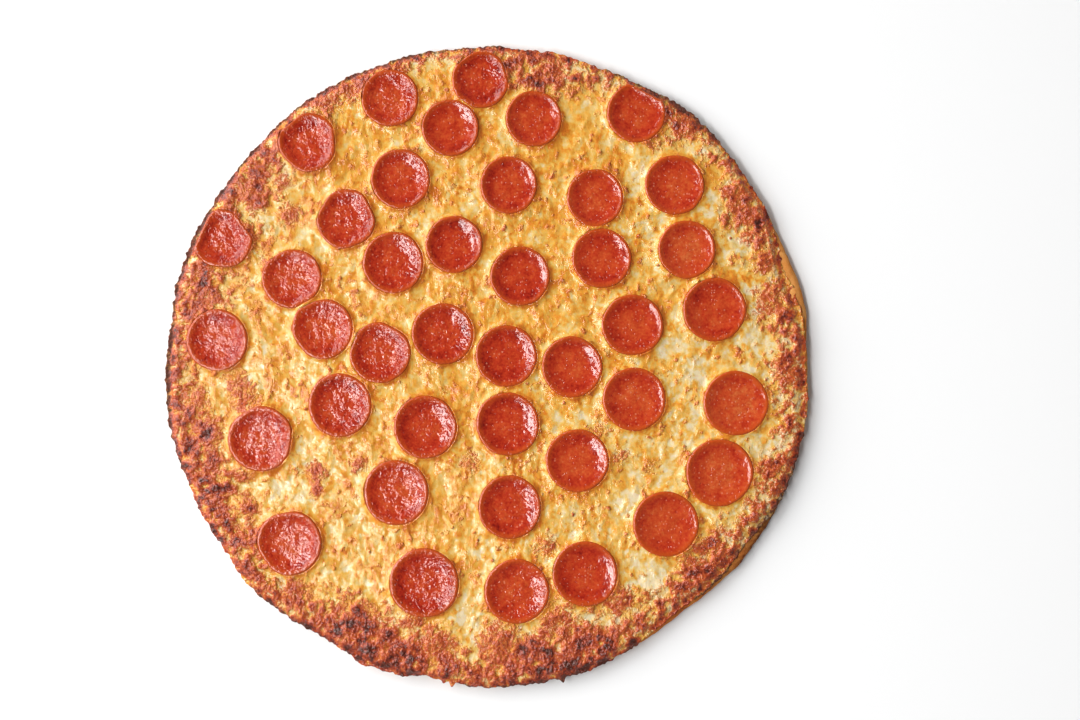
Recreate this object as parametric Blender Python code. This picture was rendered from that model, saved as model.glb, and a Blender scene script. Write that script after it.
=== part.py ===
"""A whole thin-crust pepperoni pizza, 14 inches across, baked and uncut.

It is in metres with +Z up. The origin is the middle of its underside, +X is the right of the
photograph and +Y its far side. A disc of dough carries one layer of melted cheese, and the cheese
carries 41 cooked slices, each a shallow dish lying in a seat of its own.
"""

import math

import bmesh
import bpy
from mathutils import Vector, noise

OBJECT_NAME = "pepperoni_pizza"

# Driving dimensions.
PIZZA_RADIUS = 0.1778
DOUGH_THICKNESS = 0.0050
CHEESE_THICKNESS = 0.0034
CHEESE_EDGE_THICKNESS = 0.0013
SLICE_THICKNESS = 0.0016
SLICE_LIP = 0.0012
SLICE_SINK = 0.0008
REST_GAP = 0.0003

# The dough's outer edge: how far each ring of its rounded side lies inside the outline, and its height.
DOUGH_EDGE = ((0.0080, 0.0), (0.0022, 0.0009), (0.0, 0.0025), (0.0007, 0.0042), (0.0034, DOUGH_THICKNESS))
DOUGH_STEPS = 120
DOUGH_EDGE_LUMP = 0.0005

# The relief of the cheese: slow swells over the whole disc, lumps of melted shreds, and the craggier rim.
SWELL_LENGTH = 0.070
SWELL_HEIGHT = 0.0006
LUMP_LENGTH = 0.013
LUMP_HEIGHT = 0.0008
CRAG_LENGTH = 0.008
CRAG_HEIGHT = 0.0012
CRAG_WIDTH = 0.022
CHEESE_CELLS = 50
CHEESE_SHOULDER = 0.0045

# A seat is level with its slice out to SEAT_MARGIN past the edge, and the relief is free past SEAT_BLEND.
SEAT_MARGIN = 0.0010
SEAT_BLEND = 0.0060
SLICE_STEPS = 18
SLICE_WAVE = 0.035
SLICE_TO_SLICE = 0.0006
SLICE_TO_EDGE = 0.0008

# Where the outline stands out from a circle, or falls short of one: the middle of the stretch and its
# half width in degrees, counterclockwise from +X, and the departure at the middle.
EDGE_SWELLS = (
    (48, 16, 0.0022),
    (8, 12, 0.0012),
    (345, 14, 0.0015),
    (308, 20, -0.0036),
    (262, 8, -0.0022),
    (240, 10, -0.0018),
    (222, 7, 0.0016),
    (192, 9, 0.0018),
    (150, 20, -0.0010),
)
EDGE_WAVE = 0.0009

# How far inside the outline the cheese ends, and the stretches that leave more of the dough bare.
CHEESE_INSET = 0.0012
BARE_STRETCHES = ((4, 22, 0.0034), (326, 12, 0.0036), (306, 16, 0.0022), (176, 16, 0.0008))

# Blisters that stand out of the cheese: middle in metres from the centre, radius and height.
BLISTERS = (
    (-0.154, -0.036, 0.0070, 0.0013),
    (-0.128, -0.075, 0.0040, 0.0009),
    (-0.141, -0.078, 0.0038, 0.0009),
    (-0.093, -0.058, 0.0055, 0.0010),
    (-0.070, -0.053, 0.0040, 0.0008),
    (-0.106, -0.127, 0.0055, 0.0011),
    (0.124, -0.097, 0.0050, 0.0012),
    (0.166, -0.003, 0.0055, 0.0010),
    (0.108, 0.135, 0.0060, 0.0010),
    (0.036, 0.165, 0.0045, 0.0010),
    (-0.120, 0.104, 0.0055, 0.0009),
    (-0.090, 0.146, 0.0060, 0.0010),
    (-0.156, 0.036, 0.0055, 0.0009),
    (0.010, -0.166, 0.0055, 0.0010),
    (0.066, -0.148, 0.0050, 0.0010),
)

# The slices as they lie in the photograph, row by row: the column and the row of the middle and the
# radius, in pixels of its 1080 by 720 frame. The pizza's own middle and radius give the scale.
PHOTO_MIDDLE = (487, 367)
PHOTO_RADIUS = 320
SLICES_IN_PHOTO = (
    (391, 99, 29), (481, 81, 29), (451, 129, 29), (534, 120, 28), (636, 114, 30), (309, 144, 30),
    (401, 180, 30), (509, 186, 29), (595, 199, 29), (674, 186, 30), (224, 240, 30), (347, 220, 30),
    (455, 245, 29), (601, 259, 30), (686, 250, 29), (293, 279, 30), (394, 263, 31), (520, 277, 30),
    (714, 310, 32), (219, 340, 31), (324, 329, 31), (443, 334, 31), (632, 325, 31), (381, 353, 31),
    (506, 356, 31), (572, 367, 31), (634, 399, 32), (735, 403, 33), (341, 405, 32), (262, 438, 33),
    (426, 427, 32), (508, 424, 32), (577, 460, 32), (719, 472, 34), (397, 492, 33), (510, 506, 32),
    (665, 523, 33), (291, 542, 33), (425, 582, 35), (517, 590, 33), (585, 573, 33),
)  # fmt: skip


def linear(colour):
    """Linear red, green, blue and alpha of an sRGB hex colour."""
    parts = (int(colour[i : i + 2], 16) / 255 for i in (0, 2, 4))
    return *(c / 12.92 if c <= 0.04045 else ((c + 0.055) / 1.055) ** 2.4 for c in parts), 1.0


def principled(name, colour, roughness):
    material = bpy.data.materials.new(name)
    material.use_nodes = True
    shader = material.node_tree.nodes["Principled BSDF"]
    shader.inputs["Base Color"].default_value = linear(colour)
    shader.inputs["Roughness"].default_value = roughness
    shader.inputs["Metallic"].default_value = 0.0
    return material


def wave(x, y, length, seed):
    """Smooth noise from about -1 to 1 that rises and falls over the given length."""
    return noise.noise(Vector((x / length, y / length, 7.3 * seed)))


def smooth_step(low, high, value):
    t = min(max((value - low) / (high - low), 0.0), 1.0)
    return t * t * (3 - 2 * t)


def stretch(angle, middle, half_width):
    """1 at the middle of a stretch of the edge, falling to 0 at its ends. Degrees."""
    away = abs((angle - middle + 180) % 360 - 180)
    return 0.5 + 0.5 * math.cos(math.pi * away / half_width) if away < half_width else 0.0


def outline(angle):
    """The radius of the pizza's edge in this direction."""
    degrees = math.degrees(angle)
    x, y = math.cos(angle), math.sin(angle)
    swells = sum(out * stretch(degrees, middle, half) for middle, half, out in EDGE_SWELLS)
    return PIZZA_RADIUS - EDGE_WAVE / 2 + swells + EDGE_WAVE * wave(x, y, 0.16, 1)


def cheese_edge(angle):
    """The radius at which the cheese ends in this direction."""
    degrees = math.degrees(angle)
    bare = sum(more * stretch(degrees, middle, half) for middle, half, more in BARE_STRETCHES)
    return outline(angle) - CHEESE_INSET - bare


def swell(x, y):
    """The height of the cheese's top without its lumps."""
    return DOUGH_THICKNESS + REST_GAP + CHEESE_THICKNESS + SWELL_HEIGHT * wave(x, y, SWELL_LENGTH, 2)


def relief(x, y):
    """The height of the open cheese: lumps, blisters, crags near the rim and a shoulder at its edge."""
    inside = cheese_edge(math.atan2(y, x)) - math.hypot(x, y)
    height = swell(x, y) + LUMP_HEIGHT * wave(x, y, LUMP_LENGTH, 3)
    height += CRAG_HEIGHT * wave(x, y, CRAG_LENGTH, 4) * (1 - smooth_step(0, CRAG_WIDTH, inside))
    for bx, by, radius, rise in BLISTERS:
        height += rise * math.exp(-((x - bx) ** 2 + (y - by) ** 2) / radius**2)
    edge = DOUGH_THICKNESS + REST_GAP + CHEESE_EDGE_THICKNESS
    return edge + (height - edge) * smooth_step(0, CHEESE_SHOULDER, inside)


class Slice:
    """One cooked slice: where its middle is, how large it is and the plane that it lies in."""

    def __init__(self, index, column, row, radius):
        scale = PIZZA_RADIUS / PHOTO_RADIUS
        self.index = index
        self.x = (column - PHOTO_MIDDLE[0]) * scale
        self.y = (PHOTO_MIDDLE[1] - row) * scale
        self.radius = radius * scale
        step = self.radius
        self.slope_x = (swell(self.x + step, self.y) - swell(self.x - step, self.y)) / (2 * step)
        self.slope_y = (swell(self.x, self.y + step) - swell(self.x, self.y - step)) / (2 * step)
        self.rest = swell(self.x, self.y) - SLICE_SINK

    def underside(self, x, y):
        """The height of the plane that the slice's underside lies in."""
        return self.rest + self.slope_x * (x - self.x) + self.slope_y * (y - self.y)

    def reach(self, angle, others):
        """The distance from the middle to the edge: a wavy circle, pressed flat by what it meets."""
        wobble = SLICE_WAVE * wave(math.cos(angle), math.sin(angle), 1.4, 10 + self.index)
        reach = self.radius * (1 + wobble)
        dx, dy = math.cos(angle), math.sin(angle)
        for other in (each for each in others if each is not self):
            away = math.hypot(other.x - self.x, other.y - self.y)
            ahead = (dx * (other.x - self.x) + dy * (other.y - self.y)) / away
            if ahead > 0:
                share = self.radius / (self.radius + other.radius)
                reach = min(reach, (away * share - SLICE_TO_SLICE / 2) / ahead)
        for _ in range(4):
            x, y = self.x + dx * reach, self.y + dy * reach
            reach -= max(0.0, math.hypot(x, y) - (cheese_edge(math.atan2(y, x)) - SLICE_TO_EDGE))
        return reach


def seated(x, y, slices):
    """The height of the cheese's top, level under the slices and free between them."""
    height, weights, planes = relief(x, y), 0.0, 0.0
    ceiling, nearest = math.inf, 0.0
    for one in slices:
        past = math.hypot(x - one.x, y - one.y) - one.radius
        if past >= SEAT_BLEND:
            continue
        weight = 1 - smooth_step(SEAT_MARGIN, SEAT_BLEND, past)
        plane = one.underside(x, y) - REST_GAP
        weights += weight
        planes += weight * plane
        nearest = max(nearest, weight)
        ceiling = min(ceiling, plane + (1 - weight) * SLICE_THICKNESS)
    if weights > 0:
        height = min(height * (1 - nearest) + planes / weights * nearest, ceiling)
    return height


def object_of(name, bm, material, collection, parent):
    """A smooth-shaded object made from the bmesh, with its place in its own location."""
    bmesh.ops.recalc_face_normals(bm, faces=bm.faces)
    mesh = bpy.data.meshes.new(name)
    bm.to_mesh(mesh)
    bm.free()
    mesh.shade_smooth()
    mesh.set_sharp_from_angle(angle=math.radians(40))
    mesh.materials.append(material)
    made = bpy.data.objects.new(name, mesh)
    made.parent = parent
    collection.objects.link(made)
    return made


def spun(profile, steps):
    """A bmesh of the profile, given as radius and height from pole to pole, turned about Z."""
    bm = bmesh.new()
    points = [bm.verts.new((radius, 0.0, height)) for radius, height in profile]
    edges = [bm.edges.new(pair) for pair in zip(points, points[1:])]
    bmesh.ops.spin(
        bm, geom=points + edges, cent=(0, 0, 0), axis=(0, 0, 1), angle=2 * math.pi, steps=steps, use_merge=True
    )
    bmesh.ops.remove_doubles(bm, verts=bm.verts, dist=1e-6)
    return bm


def make_crust(material, collection, parent):
    """The dough: flat below and on top, with a rounded, uneven edge."""
    top_radius = PIZZA_RADIUS - DOUGH_EDGE[-1][0]
    rings = [(PIZZA_RADIUS - inside, height) for inside, height in DOUGH_EDGE]
    bm = spun([(0.0, 0.0), *rings, (0.0, DOUGH_THICKNESS)], DOUGH_STEPS)
    for vertex in bm.verts:
        radius = vertex.co.xy.length
        if radius > 1e-6:
            vertex.co.xy *= outline(math.atan2(vertex.co.y, vertex.co.x)) / PIZZA_RADIUS
        if radius > top_radius + 1e-4:
            vertex.co.z += DOUGH_EDGE_LUMP * wave(vertex.co.x, vertex.co.y, CRAG_LENGTH, 5)
    return object_of("crust", bm, material, collection, parent)


def disc_point(u, v):
    """The point of the unit disc for a point of the square from -1 to 1, keeping cells nearly even."""
    if abs(u) < 1e-9 and abs(v) < 1e-9:
        return 0.0, 0.0
    if abs(u) > abs(v):
        radius, angle = u, math.pi / 4 * (v / u)
    else:
        radius, angle = v, math.pi / 2 - math.pi / 4 * (u / v)
    return radius * math.cos(angle), radius * math.sin(angle)


def make_cheese(slices, material, collection, parent):
    """The melted cheese: a grid bent to the pizza's outline, with its shoulder, side and flat underside."""
    base = DOUGH_THICKNESS + REST_GAP
    bm = bmesh.new()
    bmesh.ops.create_grid(bm, x_segments=CHEESE_CELLS, y_segments=CHEESE_CELLS, size=1.0)
    for vertex in bm.verts:
        x, y = disc_point(vertex.co.x, vertex.co.y)
        reach = cheese_edge(math.atan2(y, x)) - CHEESE_SHOULDER
        vertex.co.xy = x * reach, y * reach
        vertex.co.z = seated(*vertex.co.xy, slices)
    for at_base in (False, True):
        border = [edge for edge in bm.edges if edge.is_boundary]
        out = bmesh.ops.extrude_edge_only(bm, edges=border)["geom"]
        for vertex in (part for part in out if isinstance(part, bmesh.types.BMVert)):
            reach = cheese_edge(math.atan2(vertex.co.y, vertex.co.x))
            vertex.co.xy *= reach / vertex.co.xy.length
            vertex.co.z = base if at_base else seated(*vertex.co.xy, slices)
    bmesh.ops.holes_fill(bm, edges=[edge for edge in bm.edges if edge.is_boundary], sides=0)
    bmesh.ops.triangulate(bm, faces=[face for face in bm.faces if len(face.verts) > 4])
    return object_of("cheese", bm, material, collection, parent)


def make_slice(one, slices, material, collection, parent):
    """A slice: flat under its middle, with its edge curled up into a low lip round a shallow dish."""
    profile = (
        (0.0, 0.0),
        (0.78, 0.0),
        (1.0, SLICE_LIP),
        (0.95, SLICE_THICKNESS + SLICE_LIP),
        (0.74, SLICE_THICKNESS),
        (0.0, SLICE_THICKNESS),
    )
    bm = spun(profile, SLICE_STEPS)
    for vertex in bm.verts:
        share = vertex.co.xy.length
        if share > 1e-6:
            angle = math.atan2(vertex.co.y, vertex.co.x)
            vertex.co.xy *= one.reach(angle, slices)
        x, y = vertex.co.xy
        vertex.co.z += one.slope_x * x + one.slope_y * y
    made = object_of(f"pepperoni_{one.index:02d}", bm, material, collection, parent)
    made.location = one.x, one.y, one.rest
    return made


def main():
    for old in list(bpy.data.objects):
        bpy.data.objects.remove(old)
    collection = bpy.data.collections.new(OBJECT_NAME)
    bpy.context.scene.collection.children.link(collection)
    root = bpy.data.objects.new(f"{OBJECT_NAME}_origin", None)
    collection.objects.link(root)

    slices = [Slice(i, *place) for i, place in enumerate(SLICES_IN_PHOTO, start=1)]
    make_crust(principled("baked_dough", "C8823F", 0.75), collection, root)
    make_cheese(slices, principled("melted_cheese", "EBB45A", 0.35), collection, root)
    sausage = principled("cooked_sausage", "B5402A", 0.38)
    for one in slices:
        make_slice(one, slices, sausage, collection, root)


main()
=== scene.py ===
"""The looks of a whole thin-crust pepperoni pizza, baked and uncut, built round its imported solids.

A square sheet of samples, less than half a millimetre apart, holds the height of the melted cheese and
how golden, pale, brown or burnt it is at each point. The cheese is draped over that sheet. The crust
and the slices are turned shapes, made uneven by the same kinds of noise. Metres, +Z up, +X to the right
of the photograph and +Y to its far side.
"""

import math

import bmesh
import bpy
import numpy as np
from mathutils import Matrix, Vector, noise


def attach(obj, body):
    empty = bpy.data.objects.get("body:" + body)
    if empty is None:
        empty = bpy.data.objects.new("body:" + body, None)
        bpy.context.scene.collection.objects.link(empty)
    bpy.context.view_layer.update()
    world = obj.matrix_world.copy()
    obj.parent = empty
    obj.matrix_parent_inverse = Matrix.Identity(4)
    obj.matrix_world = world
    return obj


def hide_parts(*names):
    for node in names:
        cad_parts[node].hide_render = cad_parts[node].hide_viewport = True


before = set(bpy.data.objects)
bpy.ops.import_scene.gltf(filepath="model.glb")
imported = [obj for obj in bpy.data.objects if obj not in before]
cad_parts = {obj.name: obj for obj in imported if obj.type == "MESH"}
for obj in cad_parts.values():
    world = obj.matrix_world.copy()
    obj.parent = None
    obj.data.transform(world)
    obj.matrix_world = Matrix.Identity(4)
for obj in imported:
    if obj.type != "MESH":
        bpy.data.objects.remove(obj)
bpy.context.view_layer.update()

# The solids' own sizes, which the pieces here keep to. Lengths are in metres; those of the waves round an
# edge are shares of its radius. Each kind of noise is read in a layer of its own, this far from the next.
PIZZA_RADIUS = 0.1778
DOUGH_THICKNESS = 0.0050
CHEESE_THICKNESS = 0.0034
CHEESE_EDGE_THICKNESS = 0.0013
SLICE_LIP = 0.0012
SLICE_SINK = 0.0008
REST_GAP = 0.0003
SWELL_LENGTH = 0.070
SWELL_HEIGHT = 0.0006
LUMP_LENGTH = 0.013
LUMP_HEIGHT = 0.0008
CHEESE_INSET = 0.0012
EDGE_WAVE = 0.0009
EDGE_WAVE_LENGTH = 0.16
SLICE_WAVE = 0.035
SLICE_WAVE_LENGTH = 1.4
NOISE_LAYER = 7.3
SLICE_TO_SLICE = 0.0003
SLICE_TO_EDGE = 0.0008
EDGE_SWELLS = (
    (48, 16, 0.0022),
    (8, 12, 0.0012),
    (345, 14, 0.0015),
    (308, 20, -0.0036),
    (262, 8, -0.0022),
    (240, 10, -0.0018),
    (222, 7, 0.0016),
    (192, 9, 0.0018),
    (150, 20, -0.0010),
)
BARE_STRETCHES = ((4, 22, 0.0034), (326, 12, 0.0036), (306, 16, 0.0022), (176, 16, 0.0008))

# The photograph's frame, in pixels, and where the pizza lies in it.
PHOTO_SIZE = (1080, 720)
PHOTO_MIDDLE = (487, 367)
PHOTO_RADIUS = 320
PHOTO_SCALE = PIZZA_RADIUS / PHOTO_RADIUS

# The slices, row by row: the column and the row of the middle and the radius, in the photograph's pixels.
SLICES_IN_PHOTO = (
    (391, 99, 29), (481, 81, 29), (451, 129, 29), (534, 120, 28), (636, 114, 30), (309, 144, 30),
    (401, 180, 30), (509, 186, 29), (595, 199, 29), (674, 186, 30), (224, 240, 30), (347, 220, 30),
    (455, 245, 29), (601, 259, 30), (686, 250, 29), (293, 279, 30), (394, 263, 31), (520, 277, 30),
    (714, 310, 32), (219, 340, 31), (324, 329, 31), (443, 334, 31), (632, 325, 31), (381, 353, 31),
    (506, 356, 31), (572, 367, 31), (634, 399, 32), (735, 403, 33), (341, 405, 32), (262, 438, 33),
    (426, 427, 32), (508, 424, 32), (577, 460, 32), (719, 472, 34), (397, 492, 33), (510, 506, 32),
    (665, 523, 33), (291, 542, 33), (425, 582, 35), (517, 590, 33), (585, 573, 33),
)  # fmt: skip

# Slices that cooked out of round: for each, the directions in degrees in which it is flattened, and by
# what share of its radius.
SLICE_FLATS = {
    2: ((15, 0.07), (130, 0.05)),
    5: ((55, 0.09),),
    6: ((130, 0.10), (5, 0.07), (225, 0.08)),
    11: ((140, 0.15), (38, 0.14), (268, 0.05)),
    12: ((150, 0.08), (25, 0.07), (290, 0.05)),
    16: ((120, 0.05), (300, 0.05)),
    21: ((100, 0.05), (215, 0.05)),
    24: ((60, 0.06), (160, 0.04)),
    30: ((120, 0.06), (350, 0.04)),
    38: ((100, 0.05), (215, 0.06)),
}
FLAT_SOFTNESS = 0.0007

# Slices whose skin shrank into fine wrinkles, and how much. The others are nearly smooth.
CRINKLED = {
    1: 1.0, 2: 0.8, 5: 0.35, 6: 1.0, 7: 0.5, 11: 1.0, 12: 0.7, 16: 1.0, 17: 0.5, 20: 1.0, 21: 1.0, 22: 0.6,
    24: 0.9, 25: 0.4, 29: 0.9, 30: 1.0, 31: 0.5, 35: 0.9, 36: 0.4, 38: 1.0, 39: 0.9, 40: 0.6,
}  # fmt: skip

# How the pizza baked, as the photograph shows it. A stretch of the edge starts with its middle and its half
# width in degrees. Where the rim browned: also how far in, in metres, and how deeply.
BROWNED_RIM = (
    (205, 45, 0.0280, 0.62),
    (163, 26, 0.0340, 0.42),
    (140, 26, 0.0260, 0.42),
    (112, 18, 0.0120, 0.50),
    (82, 22, 0.0240, 0.56),
    (55, 18, 0.0220, 0.56),
    (30, 18, 0.0250, 0.51),
    (5, 20, 0.0220, 0.40),
    (340, 20, 0.0190, 0.42),
    (315, 20, 0.0220, 0.58),
    (285, 26, 0.0340, 0.90),
    (250, 28, 0.0310, 0.86),
)
# How far the cheese stays short of its solid's edge, or with a minus sign runs past it.
CHEESE_RETREATS = ((18, 12, 0.0040), (2, 16, -0.0022), (318, 16, 0.0012))
# How far the baked edge stands past the solids' smoother outline, or with a minus sign short of it.
EDGE_GROWTH = (
    (354, 12, 0.0018),
    (13, 12, 0.0018),
    (52, 11, 0.0012),
    (156, 6, 0.0014),
    (181, 12, 0.0014),
    (247, 5, 0.0012),
    (258, 4, -0.0022),
    (302, 9, 0.0014),
    (318, 14, 0.0020),
    (335, 12, 0.0016),
)
# Where the edge burnt, and how far in.
BURNT_RIM = (
    (150, 46, 0.0013),
    (105, 26, 0.0010),
    (52, 20, 0.0010),
    (183, 20, 0.0010),
    (232, 10, 0.0010),
    (330, 20, 0.0006),
    (282, 18, 0.0007),
)
# Where the dough at the edge browned most.
BROWNED_DOUGH = (315, 40)

# Spots on the cheese: a column and a row of the photograph, a radius in its pixels and a strength.
BROWNED_SPOTS = (
    (208, 432, 15, 0.75), (226, 512, 10, 0.55), (251, 507, 9, 0.55), (318, 472, 12, 0.42),
    (318, 490, 8, 0.45), (359, 463, 10, 0.40), (294, 590, 13, 0.50), (303, 608, 9, 0.45),
    (713, 542, 9, 0.60), (786, 378, 13, 0.45), (802, 362, 9, 0.40), (515, 54, 12, 0.40),
    (552, 67, 12, 0.45), (688, 123, 16, 0.55), (205, 302, 12, 0.50), (326, 99, 18, 0.45),
    (350, 92, 12, 0.45), (250, 192, 18, 0.42), (262, 175, 14, 0.40), (283, 181, 10, 0.32),
    (290, 216, 12, 0.36), (246, 400, 16, 0.34), (238, 385, 14, 0.34), (757, 215, 14, 0.42),
    (742, 200, 16, 0.42), (765, 262, 14, 0.42), (745, 238, 8, 0.40), (770, 300, 20, 0.34),
    (700, 545, 10, 0.40), (620, 600, 16, 0.44), (560, 622, 16, 0.40), (500, 640, 22, 0.40),
    (440, 650, 22, 0.42), (380, 640, 20, 0.40), (340, 620, 18, 0.40), (620, 455, 9, 0.26),
    (600, 430, 9, 0.22), (470, 462, 12, 0.24), (410, 620, 14, 0.34), (195, 400, 16, 0.34),
    (545, 545, 12, 0.28), (650, 465, 9, 0.24), (283, 150, 10, 0.20), (268, 262, 10, 0.22),
)  # fmt: skip
PALE_SPOTS = (
    (703, 205, 15, 0.9), (738, 248, 17, 0.8), (755, 298, 18, 0.9), (752, 335, 16, 0.9),
    (748, 375, 12, 0.8), (640, 232, 20, 0.8), (668, 345, 16, 0.8), (690, 372, 18, 0.9),
    (700, 338, 10, 0.6), (285, 492, 17, 0.6), (300, 460, 12, 0.7), (347, 572, 20, 0.3),
    (395, 615, 16, 0.7), (470, 615, 22, 0.8), (530, 625, 14, 0.6), (625, 500, 14, 0.8),
    (650, 575, 16, 0.8), (255, 345, 14, 0.6), (256, 378, 12, 0.6), (270, 225, 12, 0.4),
    (300, 240, 12, 0.5), (640, 167, 18, 0.5), (660, 218, 14, 0.7), (700, 150, 14, 0.4),
    (565, 340, 12, 0.4), (300, 500, 22, 0.35), (480, 545, 16, 0.4), (350, 530, 16, 0.5),
    (690, 430, 10, 0.6), (745, 448, 12, 0.5), (672, 420, 12, 0.5), (735, 500, 14, 0.4),
    (600, 620, 10, 0.4), (560, 425, 12, 0.4), (440, 385, 12, 0.3),
)  # fmt: skip
GOLDEN_SPOTS = (
    (420, 300, 60, 0.5), (350, 170, 40, 0.6), (560, 230, 50, 0.4), (480, 160, 40, 0.4), (470, 390, 60, 0.5),
    (540, 320, 50, 0.5), (600, 480, 40, 0.4), (380, 450, 40, 0.4), (660, 360, 20, 0.3), (440, 520, 50, 0.3),
    (280, 340, 30, 0.3), (555, 150, 24, 0.4),
)  # fmt: skip

# Where every random draw starts.
SEED = 41
# The relief of the cheese: the lengths of its broad, middling, small and fine ripples, and of its browned
# patches and blotches, the sizes of its bubbles and crumbs, and its melted shreds.
RIPPLES = (0.0140, 0.0060, 0.0030, 0.0015)
PATCHES = (0.0075, 0.0042)
BLOTCHES = 0.0048
BUBBLE_SIZE = 0.0056
CRUMB_SIZE = 0.0026
STRAND_COUNT = 9000
STRAND_LENGTH = (0.0035, 0.0100)
STRAND_WIDTH = (0.0010, 0.0019)
STRAND_HEIGHT = (0.0002, 0.0008)
# The ragged edge: the length and height of each of its ripples, and how far it stands out between them.
EDGE_RIPPLES = ((0.009, 0.0007), (0.0035, 0.0008), (0.0018, 0.0005))
EDGE_STAND = 0.0013
# Cheese that hung over the near edge: the middle and half width in degrees, and the length in metres.
DRIPS = ((263.7, 0.8, 0.0030), (283.6, 0.7, 0.0028), (262.2, 0.5, 0.0012))

# The soft lights: name, place, size and power in watts.
SOFT_LIGHTS = (
    ("softbox_high", (-0.53, -0.19, 1.22), (0.90, 0.17), 9.8),
    ("softbox_low", (-4.00, 1.86, 2.35), (6.8, 4.6), 500.0),
)

# The meshes: cells across the cheese, where its four zones meet, as shares of its radius, and steps round
# the crust and round a slice.
CHEESE_CELLS = 620
CHEESE_ZONES = (0.50, 0.71, 0.87)
CRUST_STEPS = 480
SLICE_STEPS = 104

# A cooked slice: its thickness in the middle, the height of its wall, and where the wall starts and ends
# and its underside lifts, as shares of its radius.
SLICE_MIDDLE = 0.0006
SLICE_WALL = 0.0016
SLICE_WALL_ENDS = (0.38, 0.92)
SLICE_LIFT_ENDS = (0.76, 0.99)
# The gap under a slice, how high the cheese rises round it, and how far from it the cheese still rises,
# the painted shade and painted light beside it still reach, and the cheese is still stained.
SEAT_GAP = 0.00005
CHEESE_RISE = 0.0012
RISE_REACH = 0.0016
SIDE_SHADE_REACH = 0.0026
STAIN_REACH = 0.0015
# The side, away from the lights, on which painted shade lies beside a slice. Paler painted light lies on
# the other side.
SHADE_SIDE = math.radians(-25)


def linear(colour):
    """Linear red, green, blue and alpha of an sRGB hex colour."""
    parts = (int(colour[i : i + 2], 16) / 255 for i in (0, 2, 4))
    return *(c / 12.92 if c <= 0.04045 else ((c + 0.055) / 1.055) ** 2.4 for c in parts), 1.0


BURNT_BROWN = linear("4A2414")


def from_photo(column, row):
    """The place on the pizza that a pixel of the photograph shows."""
    return (column - PHOTO_MIDDLE[0]) * PHOTO_SCALE, (PHOTO_MIDDLE[1] - row) * PHOTO_SCALE


def smooth_step(low, high, value):
    t = np.clip((value - low) / (high - low), 0.0, 1.0)
    return t * t * (3 - 2 * t)


# The sheet of samples.
SHEET_STEP = 0.0004
SHEET_HALF = 0.190
SHEET_AXIS = np.arange(-SHEET_HALF, SHEET_HALF + SHEET_STEP / 2, SHEET_STEP)
SHEET_X, SHEET_Y = np.meshgrid(SHEET_AXIS, SHEET_AXIS)


def read(sheet, x, y):
    """The sheet's value at any points, straight between its samples."""
    u = np.clip((np.asarray(x) + SHEET_HALF) / SHEET_STEP, 0, len(SHEET_AXIS) - 1.001)
    v = np.clip((np.asarray(y) + SHEET_HALF) / SHEET_STEP, 0, len(SHEET_AXIS) - 1.001)
    i, j = u.astype(int), v.astype(int)
    u, v = u - i, v - j
    low = sheet[j, i] * (1 - u) + sheet[j, i + 1] * u
    high = sheet[j + 1, i] * (1 - u) + sheet[j + 1, i + 1] * u
    return low * (1 - v) + high * v


def blurred(sheet, radius):
    """The sheet smoothed over a radius in metres, by three box averages each way."""
    reach = max(1, round(radius / SHEET_STEP))
    width = 2 * reach + 1
    for axis in (0, 1):
        for _ in range(3):
            pad = [(reach + 1, reach) if a == axis else (0, 0) for a in (0, 1)]
            total = np.cumsum(np.pad(sheet, pad, mode="edge"), axis=axis)
            high = np.take(total, range(width, total.shape[axis]), axis=axis)
            low = np.take(total, range(total.shape[axis] - width), axis=axis)
            sheet = (high - low) / width
    return sheet


def ripple(x, y, length, seed):
    """Smooth noise from about -1 to 1 that rises and falls over the given length."""
    turn = np.random.default_rng(seed).uniform(0, 2 * math.pi, (512, 512))
    east, north = np.cos(turn), np.sin(turn)
    u, v = np.asarray(x) / length + 200.5, np.asarray(y) / length + 200.5
    i, j = np.floor(u).astype(int), np.floor(v).astype(int)
    u, v = u - i, v - j
    ease_u, ease_v = (t**3 * (t * (6 * t - 15) + 10) for t in (u, v))

    def corner(a, b):
        row, column = (j + b) % 512, (i + a) % 512
        return east[row, column] * (u - a) + north[row, column] * (v - b)

    low = corner(0, 0) * (1 - ease_u) + corner(1, 0) * ease_u
    high = corner(0, 1) * (1 - ease_u) + corner(1, 1) * ease_u
    return 1.5 * (low * (1 - ease_v) + high * ease_v)


def sheet_ripple(length, seed):
    return ripple(SHEET_X, SHEET_Y, length, seed)


def cells(x, y, size, seed):
    """For a scatter of cells of this size: how far each point is from its cell's middle, as a share of
    the size, and a random number from 0 to 1 that is the cell's own."""
    rng = np.random.default_rng(seed)
    off_u, off_v, own = (rng.uniform(0, 1, (512, 512)) for _ in range(3))
    u, v = np.asarray(x) / size + 200, np.asarray(y) / size + 200
    i, j = np.floor(u).astype(int), np.floor(v).astype(int)
    near, number = np.full(u.shape, 9.0), np.zeros(u.shape)
    for a in (-1, 0, 1):
        for b in (-1, 0, 1):
            row, column = (j + b) % 512, (i + a) % 512
            away = np.hypot(i + a + off_u[row, column] - u, j + b + off_v[row, column] - v)
            number = np.where(away < near, own[row, column], number)
            near = np.minimum(near, away)
    return near, number


def slow_wave(length, seed):
    """The solids' own noise over the sheet, worked out at coarse places and read in between."""
    step = length / 8
    axis = np.arange(-SHEET_HALF - step, SHEET_HALF + 2 * step, step)
    coarse = np.array(
        [[noise.noise(Vector((x / length, y / length, NOISE_LAYER * seed))) for x in axis] for y in axis]
    )
    u = (SHEET_AXIS - axis[0]) / step
    i = u.astype(int)
    u = u - i
    rows = coarse[i] * (1 - u[:, None]) + coarse[i + 1] * u[:, None]
    return rows[:, i] * (1 - u) + rows[:, i + 1] * u


# The outline, as a table round the pizza.
ANGLES = np.linspace(-math.pi, math.pi, 2881)


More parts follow.
